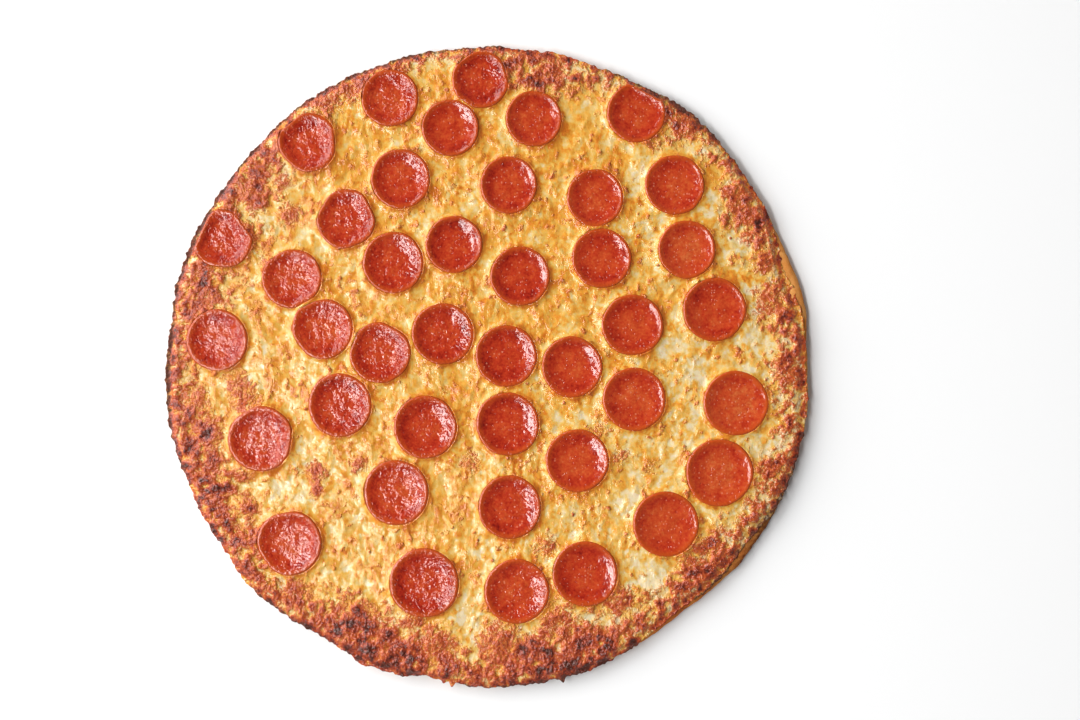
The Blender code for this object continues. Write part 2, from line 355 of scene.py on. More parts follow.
def stretch(angle, middle, half_width):
    """1 at the middle of a stretch of the edge, falling to 0 at its ends."""
    away = np.abs((np.degrees(angle) - middle + 180) % 360 - 180)
    return np.where(away < half_width, 0.5 + 0.5 * np.cos(np.pi * away / half_width), 0.0)


EDGE_NOISE = np.array(
    [
        noise.noise(Vector((math.cos(a) / EDGE_WAVE_LENGTH, math.sin(a) / EDGE_WAVE_LENGTH, NOISE_LAYER)))
        for a in ANGLES
    ]
)


def outline(angle):
    """The radius of the pizza's edge in this direction."""
    swells = sum(out * stretch(angle, middle, half) for middle, half, out in EDGE_SWELLS)
    return PIZZA_RADIUS - EDGE_WAVE / 2 + swells + EDGE_WAVE * np.interp(angle, ANGLES, EDGE_NOISE)


def cheese_edge(angle):
    """The radius at which the solid of the cheese ends in this direction."""
    bare = sum(more * stretch(angle, middle, half) for middle, half, more in BARE_STRETCHES)
    return outline(angle) - CHEESE_INSET - bare


def growth(angle):
    """How far the baked edge stands past the solids' outline, or short of it."""
    return sum(out * stretch(angle, middle, half) for middle, half, out in EDGE_GROWTH)


def retreat(angle):
    """How far the melted cheese stays short of its solid's edge, where the dough shows as a ledge, or runs
    past it."""
    return sum(back * stretch(angle, middle, half) for middle, half, back in CHEESE_RETREATS)


def ragged(angle):
    """How far the crisp edge of the baked cheese stands past the smooth edge of its solid."""
    x, y = PIZZA_RADIUS * np.cos(angle), PIZZA_RADIUS * np.sin(angle)
    ripples = enumerate(EDGE_RIPPLES, SEED + 11)
    stray = EDGE_STAND + sum(high * ripple(x, y, length, seed) for seed, (length, high) in ripples)
    for middle, half, out in DRIPS:
        stray = stray + out * stretch(angle, middle, half)
    return stray + growth(angle) - retreat(angle)


class Slice:
    """One cooked slice: where it lies, how large it is and the plane that it lies in."""

    def __init__(self, index, column, row, radius):
        self.index = index
        self.node = f"pepperoni_{index:02d}"
        self.x, self.y = from_photo(column, row)
        self.radius = radius * PHOTO_SCALE
        step = self.radius
        self.slope_x = (swell_at(self.x + step, self.y) - swell_at(self.x - step, self.y)) / (2 * step)
        self.slope_y = (swell_at(self.x, self.y + step) - swell_at(self.x, self.y - step)) / (2 * step)
        self.rest = swell_at(self.x, self.y) - SLICE_SINK

    def plane(self, x, y):
        return self.rest + self.slope_x * (x - self.x) + self.slope_y * (y - self.y)

    def lift(self, share):
        """How far the underside has lifted at this share of the radius."""
        return SLICE_LIP * smooth_step(*SLICE_LIFT_ENDS, share)

    def settle(self, others):
        """Works out the distance from the middle to the edge in every direction."""
        dx, dy = np.cos(ANGLES), np.sin(ANGLES)
        layer = NOISE_LAYER * (10 + self.index)
        ways = zip(dx / SLICE_WAVE_LENGTH, dy / SLICE_WAVE_LENGTH)
        wobble = [noise.noise(Vector((x, y, layer))) for x, y in ways]
        reach = self.radius * (1 + SLICE_WAVE * np.array(wobble))
        for other in (each for each in others if each is not self):
            away = math.hypot(other.x - self.x, other.y - self.y)
            ahead = (dx * (other.x - self.x) + dy * (other.y - self.y)) / away
            share = self.radius / (self.radius + other.radius)
            limit = (away * share - SLICE_TO_SLICE / 2) / np.maximum(ahead, 1e-3)
            reach = np.where(ahead > 0, np.minimum(reach, limit), reach)
        for way, depth in SLICE_FLATS.get(self.index, ()):
            limit = self.radius * (1 - depth) / np.maximum(np.cos(ANGLES - math.radians(way)), 0.1)
            pressed = np.exp(-reach / FLAT_SOFTNESS) + np.exp(-limit / FLAT_SOFTNESS)
            reach = -FLAT_SOFTNESS * np.log(pressed)
        for _ in range(4):
            x, y = self.x + dx * reach, self.y + dy * reach
            past = np.hypot(x, y) - (cheese_edge(np.arctan2(y, x)) - SLICE_TO_EDGE)
            reach = reach - np.maximum(0.0, past)
        self.reaches = reach

    def reach(self, angle):
        return np.interp(angle, ANGLES, self.reaches)


def swell_at(x, y):
    """The height of the cheese's top at one place, without its lumps."""
    level = DOUGH_THICKNESS + REST_GAP + CHEESE_THICKNESS
    return level + SWELL_HEIGHT * noise.noise(Vector((x / SWELL_LENGTH, y / SWELL_LENGTH, 2 * NOISE_LAYER)))


SLICES = [Slice(i, *place) for i, place in enumerate(SLICES_IN_PHOTO, start=1)]
for each in SLICES:
    each.settle(SLICES)


def spots(places, blur_noise):
    """A sheet of soft-edged spots. The noise breaks their edges."""
    total = np.zeros_like(SHEET_X)
    for column, row, radius, strength in places:
        x, y = from_photo(column, row)
        away = np.hypot(SHEET_X - x, SHEET_Y - y) / (radius * PHOTO_SCALE) + blur_noise
        total = np.maximum(total, strength * (1 - smooth_step(0.35, 1.35, away)))
    return total


def strands():
    """Melted shreds of cheese, as (height, a tone from -1 to 1 of the shred on top)."""
    rng = np.random.default_rng(SEED)
    height, tone = np.zeros_like(SHEET_X), np.zeros_like(SHEET_X)
    for _ in range(STRAND_COUNT):
        away, turn = PIZZA_RADIUS * math.sqrt(rng.uniform()), rng.uniform(0, 2 * math.pi)
        x, y, way = away * math.cos(turn), away * math.sin(turn), math.pi / 2 + rng.normal(0.05, 0.65)
        long, wide = rng.uniform(*STRAND_LENGTH) / 2, rng.uniform(*STRAND_WIDTH) / 2
        high = rng.uniform(*STRAND_HEIGHT)
        bend, own = rng.uniform(-40, 40), rng.uniform(-1, 1)
        half = int(1.3 * long / SHEET_STEP) + 2
        i, j = int((x + SHEET_HALF) / SHEET_STEP), int((y + SHEET_HALF) / SHEET_STEP)
        part = np.s_[max(0, j - half) : j + half, max(0, i - half) : i + half]
        dx, dy = SHEET_X[part] - x, SHEET_Y[part] - y
        along = dx * math.cos(way) + dy * math.sin(way)
        across = dy * math.cos(way) - dx * math.sin(way) + bend * along**2
        ridge = high * np.exp(-((along / long) ** 4) - (across / wide) ** 2)
        tone[part] = np.where(ridge > height[part], own, tone[part])
        height[part] = np.maximum(height[part], ridge)
    return height, tone


def lay_the_cheese():
    """Sheets of the cheese's height and of its golden tone, browning and burning; the tone and browning
    carry painted shade and painted light as well.
    """
    angle, away = np.arctan2(SHEET_Y, SHEET_X), np.hypot(SHEET_X, SHEET_Y)
    inside = cheese_edge(angle) - away
    broad, middling, small, fine = (sheet_ripple(length, SEED + i) for i, length in enumerate(RIPPLES, 1))
    shred, tone = strands()
    drift = smooth_step(-0.45, 0.55, 0.7 * broad + 0.5 * middling)
    shred = blurred(shred, 0.0003) * (0.22 + 0.68 * drift)
    bubble, bubble_own = cells(SHEET_X, SHEET_Y, BUBBLE_SIZE, SEED + 6)
    crumb, crumb_own = cells(SHEET_X, SHEET_Y, CRUMB_SIZE, SEED + 7)

    reach = 0.004 + sum(far * stretch(angle, middle, half) for middle, half, far, _ in BROWNED_RIM)
    depth = sum(deep * stretch(angle, middle, half) for middle, half, _, deep in BROWNED_RIM)
    depth = np.minimum(0.10 + 0.70 * depth, 0.73)
    patch = 0.55 * sheet_ripple(PATCHES[0], SEED + 9) + 0.40 * sheet_ripple(PATCHES[1], SEED + 10)
    blister = patch + 0.30 * small + 0.15 * fine + 0.35 * (crumb_own - 0.5)
    pale = spots(PALE_SPOTS, 0.40 * middling + 0.30 * small)
    golden = spots(GOLDEN_SPOTS, 0.25 * broad)
    heat = smooth_step(-0.25, 0.85, 1 - inside / reach + 0.35 * broad + 0.30 * middling - 0.25 * pale)
    toast = heat * np.maximum(depth + 0.78 * blister, 0.12)
    scorched = spots(BROWNED_SPOTS, 0.35 * middling + 0.30 * small + 0.15 * fine)
    toast = np.maximum(toast, scorched * (0.95 + 0.60 * blister))
    blotch = smooth_step(0.12, 0.85, 0.70 * sheet_ripple(BLOTCHES, SEED + 8) + 0.40 * small + 0.25 * broad)
    toast = np.maximum(toast, blotch * (0.31 + 0.14 * middling) * (1 - 0.75 * pale) * (1 - 0.8 * golden))
    pits = (bubble_own > 0.98 + 0.02 * pale) * (1 - smooth_step(0.06, 0.22, bubble + 0.05 * fine))
    toast = np.clip(np.maximum(toast, 0.44 * pits), 0, 1)

    height = DOUGH_THICKNESS + REST_GAP + CHEESE_THICKNESS + SWELL_HEIGHT * slow_wave(SWELL_LENGTH, 2)
    height = height + LUMP_HEIGHT * slow_wave(LUMP_LENGTH, 3)
    crust = smooth_step(0.15, 0.50, toast)
    dome = np.clip(1 - (crumb / 0.8) ** 2, 0, 1) * (0.3 + 0.7 * crumb_own)
    soft = 0.9 * shred + 0.00025 * middling + 0.00016 * small + 0.00006 * fine
    bulge = np.clip(1 - (bubble / 0.7) ** 2, 0, 1) * (bubble_own > 0.45)
    crags = 0.00034 * dome + 0.00042 * bulge + 0.5 * shred
    crags = crags + 0.00044 * small + 0.00034 * fine + 0.0003 * middling
    height = height + soft * (1 - crust) + crags * crust + 0.0004 * crust - 0.0004
    lip = DOUGH_THICKNESS + REST_GAP + CHEESE_EDGE_THICKNESS
    thick = smooth_step(-0.0006, 0.0036, inside - retreat(angle))
    height = lip + (height - lip) * (0.20 + 0.80 * thick)
    height = height - 0.0006 * smooth_step(0, 0.002, retreat(angle)) * (1 - thick)

    # How deep each point lies in a hollow of the relief, which darkens the colour below as painted shade in
    # part.
    valley = np.clip((blurred(height, 0.0016) - height) / 0.00040, -1, 1)
    side_shade, seep = np.zeros_like(height), np.zeros_like(height)
    hidden = np.zeros(height.shape, bool)
    for one in SLICES:
        i, j = (int((at + SHEET_HALF) / SHEET_STEP) for at in (one.x, one.y))
        half = int((one.radius + 0.008) / SHEET_STEP)
        part = np.s_[max(0, j - half) : j + half, max(0, i - half) : i + half]
        dx, dy = SHEET_X[part] - one.x, SHEET_Y[part] - one.y
        share = np.hypot(dx, dy) / one.reach(np.arctan2(dy, dx))
        past = (share - 1) * one.radius
        under = one.plane(SHEET_X[part], SHEET_Y[part]) + one.lift(share) - SEAT_GAP
        near = np.exp(-np.maximum(past, 0) / RISE_REACH)
        raised = height[part] + CHEESE_RISE * near
        height[part] = np.where(share < 0.975, np.minimum(raised, under), raised)
        height[part] = np.where(share < 0.8, under, height[part])
        # Beside each slice: painted shade on the side away from the lights, and paler painted light on the
        # side towards them.
        side = (dx * math.cos(SHADE_SIDE) + dy * math.sin(SHADE_SIDE)) / np.maximum(np.hypot(dx, dy), 1e-6)
        shade_film = side * np.exp(-np.maximum(past, 0) / SIDE_SHADE_REACH)
        side_shade[part] = np.where(np.abs(shade_film) > np.abs(side_shade[part]), shade_film, side_shade[part])
        seep[part] = np.maximum(seep[part], np.exp(-((np.maximum(past, 0) / STAIN_REACH) ** 2)))
        hidden[part] |= share < 0.84

    # The golden tone deepens in hollows, partly grease and partly painted shade, and takes the painted
    # shade and painted light beside each slice.
    gold = 0.53 + 0.12 * golden - 0.38 * pale + 0.26 * valley + 0.26 * tone * (1 - 0.8 * golden)
    gold = gold + 0.18 * broad + 0.30 * middling + 0.28 * small + 0.10 * fine
    gold = gold + 0.20 * side_shade + 0.30 * seep - 0.12 * heat
    gold = gold - 0.15 * smooth_step(-0.03, 0.12, SHEET_X) * smooth_step(0.06, -0.05, SHEET_Y)
    burnt_reach = sum(far * stretch(angle, middle, half) for middle, half, far in BURNT_RIM)
    depth_in = inside + 0.0014 * small + 0.0010 * fine + 0.0010
    burnt = 1 - smooth_step(0.4, 1.4, depth_in / np.maximum(burnt_reach, 1e-5))
    return {
        "height": height,
        "gold": np.clip(gold, 0, 1),
        # Toasted hollows come out browner: painted shade.
        "toast": np.clip(toast + 0.10 * crust * valley, 0, 1),
        "burnt": np.where(burnt_reach > 1e-5, burnt, 0.0),
        "drift": 0.35 + 0.65 * drift,
        "hidden": hidden,
    }


CHEESE = lay_the_cheese()


# Pieces.
def node(tree, kind, inputs=(), stops=None, **settings):
    """Adds a node with its settings. An input takes a value, or another node's output to link."""
    made = tree.nodes.new(kind)
    for name, value in settings.items():
        setattr(made, name, value)
    for name, value in dict(inputs).items():
        if isinstance(value, bpy.types.NodeSocket):
            tree.links.new(value, made.inputs[name])
        else:
            made.inputs[name].default_value = value
    for i, (place, colour) in enumerate(stops or ()):
        stop = made.color_ramp.elements[i] if i < 2 else made.color_ramp.elements.new(place)
        stop.position = place
        stop.color = linear(colour) if isinstance(colour, str) else (colour, colour, colour, 1)
    return made


def material(name):
    """A new material and its node tree, with the Principled shader in it."""
    made = bpy.data.materials.new(name)
    made.use_nodes = True
    return made, made.node_tree, made.node_tree.nodes["Principled BSDF"]


def set_inputs(shader, **values):
    for name, value in values.items():
        shader.inputs[name.replace("_", " ")].default_value = value


def melted_cheese():
    """Melted mozzarella and cheddar, baked: golden where the grease gathers, deeper golden in its hollows,
    partly grease and partly painted shade, and beside each slice deeper golden on the side away from
    the lights as painted shade and paler on the side towards them as painted light. It is cream where
    it is thick, tan to red-brown where it blistered and browner in toasted hollows as painted shade,
    with a thin wet film of fat that gives small sharp lights. Its edge is dark and dull where it burnt."""
    made, tree, shader = material("melted_cheese")
    place = node(tree, "ShaderNodeTexCoord").outputs["Object"]
    gold = node(tree, "ShaderNodeAttribute", attribute_name="gold").outputs["Fac"]
    toast = node(tree, "ShaderNodeAttribute", attribute_name="toast").outputs["Fac"]
    burnt = node(tree, "ShaderNodeAttribute", attribute_name="burnt").outputs["Fac"]
    grain = node(
        tree, "ShaderNodeTexNoise", {"Vector": place, "Scale": 1 / 0.0018, "Detail": 3.0, "Roughness": 0.6}
    ).outputs["Fac"]
    curd = node(
        tree, "ShaderNodeTexNoise", {"Vector": place, "Scale": 1 / 0.0042, "Detail": 2.0, "Distortion": 0.4}
    ).outputs["Fac"]
    shift = node(tree, "ShaderNodeMath", {0: grain, 1: 0.40, 2: -0.20}, operation="MULTIPLY_ADD").outputs[0]
    shift = node(tree, "ShaderNodeMath", {0: curd, 1: 0.40, 2: shift}, operation="MULTIPLY_ADD").outputs[0]
    shift = node(tree, "ShaderNodeMath", {0: shift, 1: 0.20}, operation="SUBTRACT").outputs[0]
    crumb = node(
        tree, "ShaderNodeTexNoise", {"Vector": place, "Scale": 1 / 0.0013, "Detail": 1.0, "Roughness": 0.6}
    ).outputs["Fac"]
    shift = node(tree, "ShaderNodeMath", {0: crumb, 1: 0.36, 2: shift}, operation="MULTIPLY_ADD").outputs[0]
    shift = node(tree, "ShaderNodeMath", {0: shift, 1: 0.18}, operation="SUBTRACT").outputs[0]
    tone = node(tree, "ShaderNodeMath", {0: gold, 1: shift}, operation="ADD").outputs[0]
    soft = node(
        tree,
        "ShaderNodeValToRGB",
        {"Fac": tone},
        stops=(
            (0.00, "DCC9A2"), (1.00, "C0661C"),
            (0.20, "DABC7E"), (0.40, "D9AC56"), (0.60, "D8993A"), (0.80, "CE8028"),
        ),  # fmt: skip
    ).outputs["Color"]
    more = node(tree, "ShaderNodeMath", {0: toast, 1: 2.1, 2: 0.6}, operation="MULTIPLY_ADD").outputs[0]
    brown = node(tree, "ShaderNodeMath", {0: shift, 1: more, 2: toast}, operation="MULTIPLY_ADD").outputs[0]
    baked = node(
        tree,
        "ShaderNodeValToRGB",
        {"Fac": brown},
        stops=(
            (0.08, "D08236"), (0.98, "4C1C0D"),
            (0.24, "C46A2E"), (0.42, "B34E25"), (0.60, "96381D"), (0.78, "702614"),
        ),  # fmt: skip
    ).outputs["Color"]
    share = node(
        tree, "ShaderNodeMapRange", {"Value": brown, "From Min": 0.02, "From Max": 0.32},
        interpolation_type="SMOOTHSTEP",
    ).outputs["Result"]
    colour = node(tree, "ShaderNodeMix", {0: share, 6: soft, 7: baked}, data_type="RGBA").outputs[2]
    char = node(tree, "ShaderNodeMath", {0: burnt, 1: grain}, operation="MULTIPLY").outputs[0]
    char = node(tree, "ShaderNodeMath", {0: char, 1: 1.7}, operation="MULTIPLY", use_clamp=True).outputs[0]
    colour = node(tree, "ShaderNodeMix", {0: char, 6: colour, 7: BURNT_BROWN}, data_type="RGBA").outputs[2]
    tree.links.new(colour, shader.inputs["Base Color"])
    rough = node(
        tree, "ShaderNodeMapRange",
        {"Value": brown, "From Min": 0.2, "From Max": 0.7, "To Min": 0.13, "To Max": 0.17},
    ).outputs["Result"]
    rough = node(tree, "ShaderNodeMath", {0: char, 1: 0.8, 2: rough}, operation="MULTIPLY_ADD").outputs[0]
    tree.links.new(rough, shader.inputs["Roughness"])
    drift = node(tree, "ShaderNodeAttribute", attribute_name="drift").outputs["Fac"]
    drawn = node(tree, "ShaderNodeMapping", {"Vector": place, "Scale": (1.0, 0.45, 1.0)}).outputs["Vector"]
    pimple = node(
        tree, "ShaderNodeTexNoise", {"Vector": drawn, "Scale": 1 / 0.0010, "Detail": 2.0, "Roughness": 0.6}
    ).outputs["Fac"]
    pimple = node(tree, "ShaderNodeMath", {0: pimple, 1: drift}, operation="MULTIPLY").outputs[0]
    skin = node(tree, "ShaderNodeMath", {0: crumb, 1: share}, operation="MULTIPLY").outputs[0]
    pimple = node(tree, "ShaderNodeMath", {0: skin, 1: 2.6, 2: pimple}, operation="MULTIPLY_ADD").outputs[0]
    bump = node(
        tree, "ShaderNodeBump", {"Height": pimple, "Strength": 1.0, "Distance": 0.00033}
    ).outputs["Normal"]
    tree.links.new(bump, shader.inputs["Normal"])
    set_inputs(shader, IOR=1.45, Specular_IOR_Level=0.54, Subsurface_Weight=0.3, Subsurface_Scale=0.0012)
    shader.inputs["Subsurface Radius"].default_value = (1.0, 0.5, 0.2)
    return made


def baked_dough():
    """Thin wheat dough baked on stone: dry, matt and tan, browner where it stood out, with scorched spots
    below and a dark line where its edge burnt."""
    made, tree, shader = material("baked_dough")
    place = node(tree, "ShaderNodeTexCoord").outputs["Object"]
    burnt = node(tree, "ShaderNodeAttribute", attribute_name="burnt").outputs["Fac"]
    toast = node(tree, "ShaderNodeAttribute", attribute_name="toast").outputs["Fac"]
    grain = node(
        tree, "ShaderNodeTexNoise", {"Vector": place, "Scale": 1 / 0.0020, "Detail": 4.0, "Roughness": 0.65}
    ).outputs["Fac"]
    patch = node(
        tree, "ShaderNodeTexNoise", {"Vector": place, "Scale": 1 / 0.011, "Detail": 3.0, "Distortion": 0.6}
    ).outputs["Fac"]
    level = node(tree, "ShaderNodeMath", {0: patch, 1: 1.0, 2: -0.62}, operation="MULTIPLY_ADD").outputs[0]
    level = node(tree, "ShaderNodeMath", {0: grain, 1: 0.75, 2: level}, operation="MULTIPLY_ADD").outputs[0]
    level = node(tree, "ShaderNodeMath", {0: level, 1: toast}, operation="ADD").outputs[0]
    colour = node(
        tree,
        "ShaderNodeValToRGB",
        {"Fac": level},
        stops=((0.10, "DA9A56"), (0.95, "42200F"), (0.40, "D18540"), (0.62, "C06C2E"), (0.80, "8A4620")),
    ).outputs["Color"]
    char = node(tree, "ShaderNodeMath", {0: burnt, 1: grain}, operation="MULTIPLY").outputs[0]
    char = node(tree, "ShaderNodeMath", {0: char, 1: 1.5}, operation="MULTIPLY", use_clamp=True).outputs[0]
    colour = node(tree, "ShaderNodeMix", {0: char, 6: colour, 7: BURNT_BROWN}, data_type="RGBA").outputs[2]
    tree.links.new(colour, shader.inputs["Base Color"])
    bump = node(
        tree, "ShaderNodeBump", {"Height": grain, "Strength": 0.7, "Distance": 0.0005}
    ).outputs["Normal"]
    tree.links.new(bump, shader.inputs["Normal"])
    set_inputs(shader, Roughness=0.85, IOR=1.45, Specular_IOR_Level=0.1)
    return made


def cooked_pepperoni():
    """Cured sausage, sliced and cooked until it dished: orange-brown where its fat pooled in the middle,
    deep red up the wall, which is partly painted shade, orange-red at the lip, peppered with pale fat and
    small pores, its brightest flecks of fat partly painted glints, finely wrinkled and shining with grease."""
    made, tree, shader = material("cooked_pepperoni")
    place = node(tree, "ShaderNodeTexCoord").outputs["Object"]
    share = node(tree, "ShaderNodeAttribute", attribute_name="share").outputs["Fac"]
    cast = node(tree, "ShaderNodeAttribute", attribute_name="cast").outputs["Fac"]
    crinkle = node(tree, "ShaderNodeAttribute", attribute_name="crinkle").outputs["Fac"]
    meat = node(
        tree, "ShaderNodeTexNoise", {"Vector": place, "Scale": 1 / 0.0060, "Detail": 3.0, "Roughness": 0.6}
    ).outputs["Fac"]
    fleck = node(
        tree, "ShaderNodeTexNoise", {"Vector": place, "Scale": 1 / 0.0014, "Detail": 2.0, "Roughness": 0.6}
    ).outputs["Fac"]
    wrinkle = node(
        tree, "ShaderNodeTexNoise",
        {"Vector": place, "Scale": 1 / 0.0021, "Detail": 0.6, "Roughness": 0.5, "Distortion": 1.0},
    ).outputs["Fac"]
    level = node(tree, "ShaderNodeMath", {0: meat, 1: 0.6, 2: cast}, operation="MULTIPLY_ADD").outputs[0]
    level = node(tree, "ShaderNodeMath", {0: fleck, 1: 0.5, 2: level}, operation="MULTIPLY_ADD").outputs[0]
    # The middle is lighter where fat pooled; leaving the wall deeper red is partly painted shade.
    pool_and_wall_shade = node(
        tree, "ShaderNodeMapRange", {"Value": share, "From Min": 0.80, "From Max": 0.35, "To Max": 0.14},
        interpolation_type="SMOOTHSTEP",
    ).outputs["Result"]
    level = node(tree, "ShaderNodeMath", {0: level, 1: pool_and_wall_shade}, operation="ADD").outputs[0]
    flesh = node(
        tree,
        "ShaderNodeValToRGB",
        {"Fac": level},
        stops=((0.34, "70120C"), (1.00, "C86A38"), (0.48, "962212"), (0.62, "AB3219"), (0.78, "B94722")),
    ).outputs["Color"]
    # Flecks of pale fat, made bright enough that they also serve as painted glints of grease.
    fat = node(tree, "ShaderNodeTexVoronoi", {"Vector": place, "Scale": 1 / 0.0014, "Randomness": 1.0})
    own = node(tree, "ShaderNodeSeparateColor", {"Color": fat.outputs["Color"]}).outputs[0]
    near = node(
        tree, "ShaderNodeMapRange", {"Value": fat.outputs["Distance"], "From Min": 0.44, "From Max": 0.26}
    ).outputs["Result"]
    some = node(tree, "ShaderNodeMath", {0: own, 1: 0.87}, operation="GREATER_THAN").outputs[0]
    speck = node(tree, "ShaderNodeMath", {0: near, 1: some}, operation="MULTIPLY").outputs[0]
    speck = node(tree, "ShaderNodeMath", {0: speck, 1: 0.6}, operation="MULTIPLY").outputs[0]
    pale_fat_and_glint = linear("D07A5E")
    colour = node(tree, "ShaderNodeMix", {0: speck, 6: flesh, 7: pale_fat_and_glint}, data_type="RGBA").outputs[2]
    edge = node(tree, "ShaderNodeMath", {0: fleck, 1: 0.14, 2: share}, operation="MULTIPLY_ADD").outputs[0]
    band = node(
        tree, "ShaderNodeMapRange", {"Value": edge, "From Min": 0.82, "From Max": 1.07, "To Max": 0.85},
        interpolation_type="SMOOTHSTEP",
    ).outputs["Result"]
    lip_red = linear("B44A16")
    colour = node(tree, "ShaderNodeMix", {0: band, 6: colour, 7: lip_red}, data_type="RGBA").outputs[2]
    tree.links.new(colour, shader.inputs["Base Color"])
    rough = node(tree, "ShaderNodeMath", {0: band, 1: 0.07, 2: 0.11}, operation="MULTIPLY_ADD").outputs[0]
    tree.links.new(rough, shader.inputs["Roughness"])
    pore = node(tree, "ShaderNodeTexVoronoi", {"Vector": place, "Scale": 1 / 0.0017, "Randomness": 1.0})
    own = node(tree, "ShaderNodeSeparateColor", {"Color": pore.outputs["Color"]}).outputs[0]
    some = node(tree, "ShaderNodeMath", {0: own, 1: 0.68}, operation="GREATER_THAN").outputs[0]
    near = node(
        tree, "ShaderNodeMapRange", {"Value": pore.outputs["Distance"], "From Min": 0.34, "From Max": 0.10}
    ).outputs["Result"]
    hole = node(tree, "ShaderNodeMath", {0: near, 1: some}, operation="MULTIPLY").outputs[0]
    relief = node(tree, "ShaderNodeMath", {0: wrinkle, 1: crinkle}, operation="MULTIPLY").outputs[0]
    relief = node(
        tree, "ShaderNodeMath", {0: hole, 1: -0.40, 2: relief}, operation="MULTIPLY_ADD"
    ).outputs[0]
    bump = node(
        tree, "ShaderNodeBump", {"Height": relief, "Strength": 1.0, "Distance": 0.00039}
    ).outputs["Normal"]
    tree.links.new(bump, shader.inputs["Normal"])
    set_inputs(shader, IOR=1.47, Specular_IOR_Level=0.54)
    return made


def add_values(mesh, **values):
    """Stores named numbers on the mesh's points, for its material to read."""
    for name, numbers in values.items():
        layer = mesh.attributes.new(name, "FLOAT", "POINT")
        layer.data.foreach_set("value", np.asarray(numbers, np.float32))


def points_of(mesh):
    found = np.empty(len(mesh.vertices) * 3)
    mesh.vertices.foreach_get("co", found)
    return found.reshape(-1, 3)


def set_points(mesh, points):
    mesh.vertices.foreach_set("co", np.ascontiguousarray(points, np.float32).ravel())
    mesh.update()


def piece(name, mesh, finish, slot, *nodes):
    """A finished piece that stands for these solids."""
    mesh.shade_smooth()
    mesh.materials.append(finish)
    made = bpy.data.objects.new(name, mesh)
    bpy.context.scene.collection.objects.link(made)
    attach(made, "root")
    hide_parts(*nodes)
    return made


def mesh_of(name, bm):
    mesh = bpy.data.meshes.new(name)
    bm.to_mesh(mesh)
    bm.free()
    return mesh


def spun(profile, steps):
    """A bmesh of the profile, given as radius and height from pole to pole, turned about Z."""
    bm = bmesh.new()
    points = [bm.verts.new((radius, 0.0, height)) for radius, height in profile]
    edges = [bm.edges.new(pair) for pair in zip(points, points[1:])]
    bmesh.ops.spin(
        bm, geom=points + edges, cent=(0, 0, 0), axis=(0, 0, 1), angle=2 * math.pi,
        steps=steps, use_merge=True,
    )  # fmt: skip
    bmesh.ops.remove_doubles(bm, verts=bm.verts, dist=1e-7)
    bmesh.ops.recalc_face_normals(bm, faces=bm.faces)
    return bm


def disc_points(u, v):
    """Points of the unit disc for points of the square from -1 to 1, keeping its cells nearly even."""
    wide = np.abs(u) > np.abs(v)
    safe_u, safe_v = np.where(np.abs(u) < 1e-9, 1e-9, u), np.where(np.abs(v) < 1e-9, 1e-9, v)
    radius = np.where(wide, u, v)
    angle = np.where(wide, math.pi / 4 * v / safe_u, math.pi / 2 - math.pi / 4 * u / safe_v)
    return radius * np.cos(angle), radius * np.sin(angle)


def cheese_grid():
    """A fine grid of even cells over the whole cheese, its edge ragged, draped over the sheet of heights.
    Also each cell's ring, counted from the middle, and whether a slice hides it."""
    bm = bmesh.new()
    bmesh.ops.create_grid(bm, x_segments=CHEESE_CELLS, y_segments=CHEESE_CELLS, size=1.0)
    mesh = mesh_of("cheese_grid", bm)
    u, v, _ = points_of(mesh).T
    x, y = disc_points(u, v)
    angle = np.arctan2(y, x)
    smooth = cheese_edge(angle)
    stray = smooth_step(0.955, 1.0, np.maximum(np.abs(u), np.abs(v)))
    reach = smooth + stray * ragged(angle)
    x, y = x * reach, y * reach
    set_points(mesh, np.stack([x, y, read(CHEESE["height"], x, y)], axis=1))
    corners = np.empty(len(mesh.polygons) * 4, int)
    mesh.polygons.foreach_get("vertices", corners)
    corners = corners.reshape(-1, 4)
    ring = np.maximum(np.abs(u[corners].mean(axis=1)), np.abs(v[corners].mean(axis=1)))
    middle_x, middle_y = x[corners].mean(axis=1), y[corners].mean(axis=1)
    hidden = read(CHEESE["hidden"].astype(float), middle_x, middle_y) > 0.99
    return mesh, ring, hidden


def close_below(bm):
    """Gives a sheet of cheese its sides and its flat underside. The outer side is rounded under."""
    base = DOUGH_THICKNESS + REST_GAP - 0.0002
    seams_within = CHEESE_ZONES[-1] * PIZZA_RADIUS + 0.010
    outer = [e for e in bm.edges if e.is_boundary and e.verts[0].co.xy.length > seams_within]
    if outer:
        out = bmesh.ops.extrude_edge_only(bm, edges=outer)["geom"]
        for vertex in (part for part in out if isinstance(part, bmesh.types.BMVert)):
            vertex.co.xy *= 1 - 0.0003 / vertex.co.xy.length
            vertex.co.z = max(base, vertex.co.z - 0.0008)
    border = [e for e in bm.edges if e.is_boundary]
    out = bmesh.ops.extrude_edge_only(bm, edges=border)["geom"]
    for vertex in (part for part in out if isinstance(part, bmesh.types.BMVert)):
        vertex.co.z = base
    border = [e for e in bm.edges if e.is_boundary]
    reaches = [e.verts[0].co.xy.length for e in border]
    if min(reaches) > 0.9 * max(reaches):
        bmesh.ops.holes_fill(bm, edges=border, sides=0)
    else:
        bmesh.ops.bridge_loops(bm, edges=border)
    bmesh.ops.recalc_face_normals(bm, faces=bm.faces)


